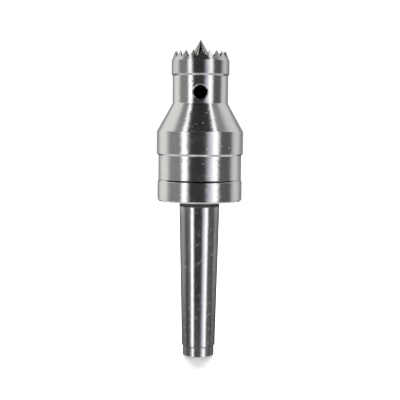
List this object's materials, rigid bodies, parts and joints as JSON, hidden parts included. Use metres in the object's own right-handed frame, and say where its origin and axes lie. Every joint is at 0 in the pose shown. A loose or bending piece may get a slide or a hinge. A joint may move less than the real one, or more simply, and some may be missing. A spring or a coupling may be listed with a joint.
{
  "type": "revolving crown centre",
  "caption": "Revolving toothed crown centre with a sprung 60 degree point, a turned head on rolling bearings and a No. 2 Morse taper shank.",
  "frame": {"origin": "on the axis at the gauge line of the Morse taper, 5 mm behind the rear face of the turning head", "axes": "+Z along the axis of rotation towards the work point; -Y is the side with the tommy bar hole"},
  "size_m": [0.0382, 0.038, 0.1402],
  "materials": {
    "polished_steel": "polished after turning",
    "crown_steel": "turned and milled, bright",
    "point_steel": "hardened and ground",
    "ground_steel": "hardened and ground",
    "turned_steel": "turned",
    "spring_steel": "oiled",
    "bearing_steel": "ground",
    "cage_sheet": "pressed sheet",
    "cage_brass": "machined",
    "seal_rubber": "matt"
  },
  "bodies": {
    "shank": {"morse_shank": "ground_steel", "spindle_snap_ring": "spring_steel", "radial_bearing_inner_ring": "bearing_steel", "thrust_shaft_washer": "bearing_steel"},
    "head": {"housing": "polished_steel", "rear_cap": "polished_steel", "rear_seal": "seal_rubber", "crown": "crown_steel", "bearing_spacer": "turned_steel", "radial_bearing_outer_ring": "bearing_steel", "radial_bearing_shields": "cage_sheet", "thrust_housing_washer": "bearing_steel", "needle_bearing_cup": "bearing_steel", "point_spring": "spring_steel"},
    "point": {"center_point": "point_steel"},
    "thrust_set": {"thrust_bearing_balls": "bearing_steel", "thrust_bearing_cage": "cage_brass"},
    "radial_set": {"radial_bearing_balls": "bearing_steel", "radial_bearing_cage": "cage_sheet"},
    "needle_set": {"needle_rollers": "bearing_steel", "needle_cage": "cage_sheet"}
  },
  "joints": [
    {"name": "head_spin", "type": "hinge", "parent": "shank", "child": "head", "pos_m": [0, 0, 0.0528], "axis": [0, 0, 1], "continuous": true},
    {"name": "point_press", "type": "slide", "parent": "head", "child": "point", "axis": [0, 0, -1], "range_m": [0, 0.0045], "stiffness_N_per_m": 2000, "springref_m": -0.003, "deforming": ["point_spring"]},
    {"name": "thrust_set_spin", "type": "hinge", "parent": "shank", "child": "thrust_set", "pos_m": [0, 0, 0.0155], "axis": [0, 0, 1], "continuous": true},
    {"name": "radial_set_spin", "type": "hinge", "parent": "shank", "child": "radial_set", "pos_m": [0, 0, 0.026], "axis": [0, 0, 1], "continuous": true},
    {"name": "needle_set_spin", "type": "hinge", "parent": "shank", "child": "needle_set", "pos_m": [0, 0, 0.039], "axis": [0, 0, 1], "continuous": true}
  ],
  "couplings": [
    {"joint": "thrust_set_spin", "follows": "head_spin", "ratio": 0.5},
    {"joint": "radial_set_spin", "follows": "head_spin", "ratio": 0.61905},
    {"joint": "needle_set_spin", "follows": "head_spin", "ratio": 0.55333}
  ]
}
